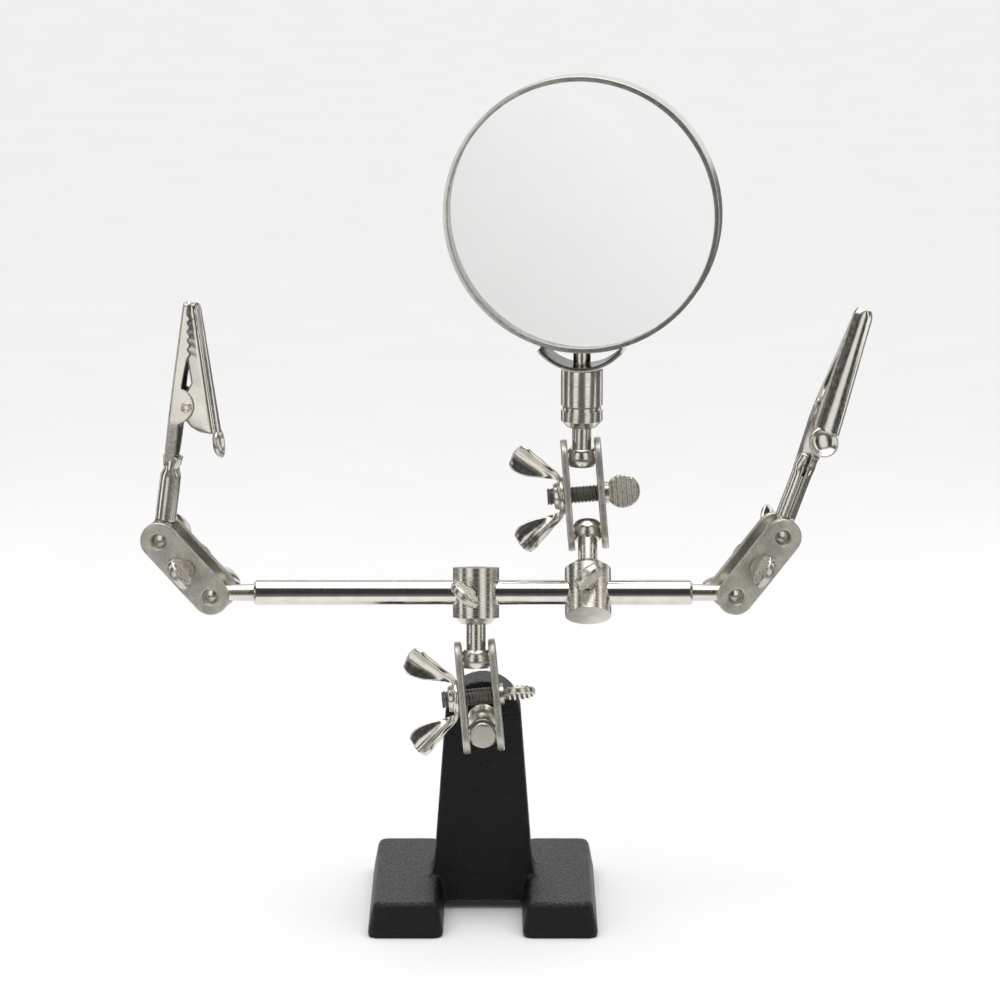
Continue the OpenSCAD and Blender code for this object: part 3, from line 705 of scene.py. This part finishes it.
def jaw_sheet():
    rows = []
    bite = ((35.6, TOOTH_Z, 6), (TOOTH_Z, TOOTH_TOP, 40), (TOOTH_TOP, 55, 6))
    for z in heights((17.2, 28, 14), (28, 35.6, 20), *bite):
        half = straight(((17.2, 2.3), (27.6, 2.9), (31.6, 2.9), (54.2, 1.75), (55, 1.25)), z)
        if z < TOOTH_Z:
            edge = along(((17.2, 0.2), (20, 0.9), (28, 0.95), (36.5, 0.6), (TOOTH_Z, 1.0)), z)
        else:
            edge = tooth_x(min(z, TOOTH_TOP)) - TOOTH_GAP
        ear = EAR ** 2 - (z - PIVOT[1]) ** 2
        if ear > 0:
            edge = max(edge, 0.2 + math.sqrt(ear))
        rows.append((-1.6, z, half, edge, half))
    return channel(rows, 0.12)


def lever_sheet():
    rows = []
    for z in heights((26.5, 37.2, 24), (37.2, TOOTH_Z, 6), (TOOTH_Z, TOOTH_TOP, 40), (TOOTH_TOP, 54.9, 6)):
        back = straight(((26.5, 9.33), (54.4, 1.25), (54.9, 1.0)), z)
        half = straight(((26.5, 2.45), (31.6, 2.35), (53.6, 1.75), (54.9, 1.2)), z)
        if z < TOOTH_Z:
            edge = straight(((26.5, 6.2), (27.2, 4.1), (28.4, 2.8), (29.6, 1.4), (30.6, 0.75), (32.4, 0.7),
                             (37.2, 2.8), (TOOTH_Z, 1.16)), z)
        else:
            edge = tooth_x(min(z, TOOTH_TOP)) + TOOTH_GAP
        rows.append((back, z, half, min(edge, back - 0.9), half - 0.35))
    return channel(rows, 0.45)


def thumb_pad():
    """Dished disc that ends the lever, in its own frame with the dish on +Z."""
    profile = [(0.02, -0.3), (1.4, -0.25), (2.5, 0.0), (3.2, 0.45), (3.45, 0.85), (3.42, 1.2), (3.2, 1.38),
               (2.95, 1.3), (2.6, 0.92), (2.0, 0.55), (1.2, 0.32), (0.5, 0.24), (0.02, 0.22)]
    return lathe(profile, 48, closed=False)


def pad_verts(verts):
    """The pad moved to the end of the lever's slope, in the clip's frame."""
    (low_z, low_x), (tip_z, tip_x) = LEVER
    down = Vector((low_x - tip_x, 0, low_z - tip_z))
    beyond, behind = 2.6, 0.6  # pad's middle past the lever's end, and back from its face
    length = down.length + beyond
    down.normalize()
    out = Vector((-down.z, 0, down.x))
    middle = Vector((tip_x, 0, tip_z)) + down * length - out * behind
    return [tuple(middle + down * x + Vector((0, y, 0)) + out * z) for x, y, z in verts]


def barrel():
    """Rolled tube with a lengthwise gap towards the lever, closing to a crimp."""
    rows, cols = [], 33
    for z in heights((3.8, 14.5, 12), (14.5, 19.5, 10)):
        squeeze = along(((0, 1.0), (14.8, 1.0), (16.6, 0.72), (18.2, 0.9), (19.5, 1.0)), z)
        for c in range(cols):
            a = math.radians(9 + 342 * c / (cols - 1))
            rows.append((2.05 * math.cos(a) * squeeze, 2.05 * math.sin(a) * (2 - squeeze) ** 0.3, z))
    return rows, grid(len(rows) // cols, cols)


def coil_spring():
    """Torsion spring about the rivet with a leg on each jaw."""
    radius, wire, turns, half = 1.4, 0.3, 3.5, 1.05
    px, pz = PIVOT
    points = [Vector((px - radius, -half, pz - 5)), Vector((px - radius, -half, pz - 1))]
    steps = int(turns * 16)
    for i in range(steps + 1):
        a = math.pi + 2 * math.pi * i / 16
        y = -half + 2 * half * i / steps
        points.append(Vector((px + radius * math.cos(a), y, pz + radius * math.sin(a))))
    points += [Vector((px + radius, half, pz - 1)), Vector((px + radius, half, pz - 3))]
    return tube(points, wire, 8)


def hollow_rivet():
    """Tubular rivet through both ears, turned over at its ends, about +Y in the clip's frame."""
    end, shank, inside = 3.43, 0.85, 0.55
    half = [(0.02, end - 1.0), (inside, end - 0.9), (inside + 0.05, end - 0.15), (shank, end),
            (1.12, end - 0.06), (1.25, end - 0.24), (1.22, end - 0.43), (shank, end - 0.45)]
    verts, faces = lathe(half + [(r, -h) for r, h in half[::-1]], 32, closed=False)
    return [(PIVOT[0] + x, h, PIVOT[1] + y) for x, y, h in verts], [f[::-1] for f in faces]


def bent_sheet(obj):
    """Sheet thickness inwards, with broken edges."""
    modify(obj, "SOLIDIFY", thickness=SHEET * MM, offset=-1.0)
    modify(obj, "BEVEL", width=0.1 * MM, segments=2, limit_method="ANGLE")


def clips():
    metal = plain_metal("clip_nickel", (0.70, 0.67, 0.61), (0.15, 0.27), 0.6, 0.008)
    wire = plain_metal("spring_wire", (0.5, 0.49, 0.46), (0.25, 0.35), 0.3, 0.004)
    for side in SIDES:
        local, body = clip_frame(side), side + "_clip"
        jaw_node, lever_node, lever_body = side + "_clip_jaw", side + "_clip_lever", side + "_lever"
        jaw = piece(side + "_jaw_sheet", *jaw_sheet(), local, body, metal, "clip_nickel", (jaw_node,))
        bent_sheet(jaw)
        sleeve = piece(side + "_barrel", *barrel(), local, body, metal, "clip_nickel", (jaw_node,))
        modify(sleeve, "SOLIDIFY", thickness=SHEET * MM, offset=0.0)
        lever = piece(side + "_lever_sheet", *lever_sheet(), local, lever_body, metal, "clip_nickel",
                      (lever_node,))
        bent_sheet(lever)
        verts, faces = thumb_pad()
        piece(side + "_thumb_pad", pad_verts(verts), faces, local, lever_body, metal, "clip_nickel",
              (lever_node,))
        piece(side + "_hollow_rivet", *hollow_rivet(), local, body, metal, "bright_nickel",
              (side + "_clip_rivet",))
        piece(side + "_coil_spring", *coil_spring(), local, body, wire, "zinc_steel",
              (side + "_clip_spring",))


# ---------- glass ----------
def lens():
    """Biconvex glass, smooth enough to see through."""
    radius, edge, middle, rings, sides = 30.95, 1.8, 6.4, 28, 128
    bulge = (middle - edge) / 2
    curve = (radius ** 2 + bulge ** 2) / (2 * bulge)
    radii = [radius * math.sin(math.pi / 2 * (i + 1) / rings) for i in range(rings)]
    face = [(r, edge / 2 + math.sqrt(curve ** 2 - r * r) - (curve - bulge)) for r in radii]
    verts, faces = lathe(face + [(r, -h) for r, h in face[::-1]], sides, closed=False)
    last, top, bottom = len(verts) - sides, len(verts), len(verts) + 1
    verts += [(0, 0, middle / 2), (0, 0, -middle / 2)]
    faces += [(top, (s + 1) % sides, s) for s in range(sides)]
    faces += [(bottom, last + s, last + (s + 1) % sides) for s in range(sides)]
    turned = [(x, z, y + LENS_REACH) for x, y, z in verts]
    local = lens_frame()
    # direction of the glass's painted reflection, which darkens it on the opposite side
    lean = local.to_3x3() @ Vector((1, 0, 1))
    glass = clear_glass(local @ Vector((0, 0, LENS_REACH)), lean.normalized(), radius * MM)
    piece("glass_disc", turned, faces, local, "magnifier", glass, "lens_glass", ("lens_glass",))


# ---------- stage ----------
FLOOR_FADE = (0.13, 0.24)  # painted reflection: beyond this far out, in metres, the floor is coloured dark where metal reflects it, as if the paper ended there


def floor():
    mesh = bpy.data.meshes.new("floor")
    mesh.from_pydata([(-8, -8, 0), (8, -8, 0), (8, 8, 0), (-8, 8, 0)], [], [(0, 1, 2, 3)])
    obj = bpy.data.objects.new("floor", mesh)
    obj.location.z = -0.05 * MM
    bpy.context.scene.collection.objects.link(obj)
    s = Shader("floor_paper")
    paper = s.noise(40.0)
    # painted reflection: far out, the floor is coloured dark in rays that metal reflects
    painted_reflection_fade = s.spread(s.vector("LENGTH", s.place, (0, 0, 0)).outputs["Value"], 0.0, 0.9, FLOOR_FADE)
    path = s.node("ShaderNodeLightPath")
    seen = s.math("MULTIPLY", path.outputs["Is Glossy Ray"],
                  s.math("SUBTRACT", 1.0, path.outputs["Is Transmission Ray"]))
    pale = s.tone(paper, (0.915, 0.915, 0.91), (0.93, 0.93, 0.925))
    s.shade(Base_Color=s.mix(s.math("MULTIPLY", painted_reflection_fade, seen), pale, (0.03, 0.03, 0.03, 1)), Roughness=0.9,
            Specular_IOR_Level=0.1)
    mesh.materials.append(s.material)


def softbox(name, spot, aim, size, glow):
    """Lamp whose face shines with brightness glow; it isn't seen directly or through the glass."""
    data = bpy.data.lights.new(name, "AREA")
    data.shape, data.size, data.size_y = "RECTANGLE", size[0], size[1]
    data.energy = glow * math.pi * size[0] * size[1]
    obj = bpy.data.objects.new(name, data)
    bpy.context.scene.collection.objects.link(obj)
    obj.location = spot
    obj.rotation_euler = (Vector(aim) - Vector(spot)).to_track_quat("-Z", "Y").to_euler()
    obj.visible_camera = False
    obj.visible_transmission = False


ROOM = {"overhead": 2.6, "wall": 0.045, "backdrop": 0.9, "seen": 0.95}


def surroundings():
    """Dark room with a wide soft light overhead and a pale backdrop behind."""
    world = bpy.data.worlds.new("room")
    bpy.context.scene.world = world
    world.use_nodes = True
    tree = world.node_tree
    link = tree.links.new

    def ramp(value, low, high, dark, light):
        n = tree.nodes.new("ShaderNodeMapRange")
        n.interpolation_type = "SMOOTHSTEP"
        for key, v in (("From Min", low), ("From Max", high), ("To Min", dark), ("To Max", light)):
            n.inputs[key].default_value = v
        link(value, n.inputs["Value"])
        return n.outputs[0]

    def largest(a, b):
        n = tree.nodes.new("ShaderNodeMath")
        n.operation = "MAXIMUM"
        link(a, n.inputs[0])
        link(b, n.inputs[1])
        return n.outputs[0]

    split = tree.nodes.new("ShaderNodeSeparateXYZ")
    link(tree.nodes.new("ShaderNodeTexCoord").outputs["Generated"], split.inputs[0])
    overhead = ramp(split.outputs["Z"], 0.72, 0.9, ROOM["wall"], ROOM["overhead"])
    behind = ramp(split.outputs["Y"], 0.72, 0.92, ROOM["wall"], ROOM["backdrop"])
    path = tree.nodes.new("ShaderNodeLightPath")
    seen = largest(path.outputs["Is Camera Ray"], path.outputs["Is Transmission Ray"])
    plain = ramp(seen, 0.0, 1.0, 0.0, ROOM["seen"])
    lit = largest(overhead, behind)
    pick = tree.nodes.new("ShaderNodeMix")
    link(seen, pick.inputs["Factor"])
    link(lit, pick.inputs["A"])
    link(plain, pick.inputs["B"])
    link(pick.outputs["Result"], tree.nodes["Background"].inputs["Strength"])
    tree.nodes["Background"].inputs["Color"].default_value = (1, 1, 1, 1)


def around(centre, degrees, distance, height):
    """Point at an angle from the front, positive to the right."""
    a = math.radians(degrees)
    return Vector((centre.x + distance * math.sin(a), centre.y - distance * math.cos(a), height))


LAMPS = (  # name, degrees from the front, distance, height, size, glow
    ("front_box", 33, 0.42, 0.20, (0.22, 0.40), 1.05),
    ("side_strip", 80, 0.45, 0.22, (0.10, 0.44), 1.6),
    ("back_strip", 128, 0.5, 0.22, (0.14, 0.44), 1.2),
)


def lights(centre):
    """Two tall boxes beside the camera, with a dark gap between them, and two strips on each side."""
    for way in (-1, 1):
        for name, degrees, distance, height, size, glow in LAMPS:
            spot = around(centre, way * degrees, distance, height)
            softbox("%s_%d" % (name, way + 1), spot, centre, size, glow)


def camera(bounds):
    """The photo's view: level with the clamp, from the front and 11.5 degrees above."""
    low, high = Vector(bounds[0]), Vector(bounds[1])
    middle = (low + high) / 2
    aim = Vector((middle.x - 1.2 * MM, 0.0, middle.z - 0.85 * MM))
    raise_by, distance = math.radians(11.5), 1.0
    data = bpy.data.cameras.new("camera")
    data.lens, data.sensor_width = 155.45, 36.0
    obj = bpy.data.objects.new("camera", data)
    bpy.context.scene.collection.objects.link(obj)
    obj.location = aim + distance * Vector((0, -math.cos(raise_by), math.sin(raise_by)))
    obj.rotation_euler = (math.pi / 2 - raise_by, 0, 0)
    bpy.context.scene.camera = obj
    bpy.context.scene.view_settings.view_transform = "Standard"
    return middle


dress_base()
dress_chain()
dress_magnifier()
dress_clips()
plates()
thumb_screws()
wing_nuts()
clips()
lens()
floor()
surroundings()
lights(camera(cad_bounds))
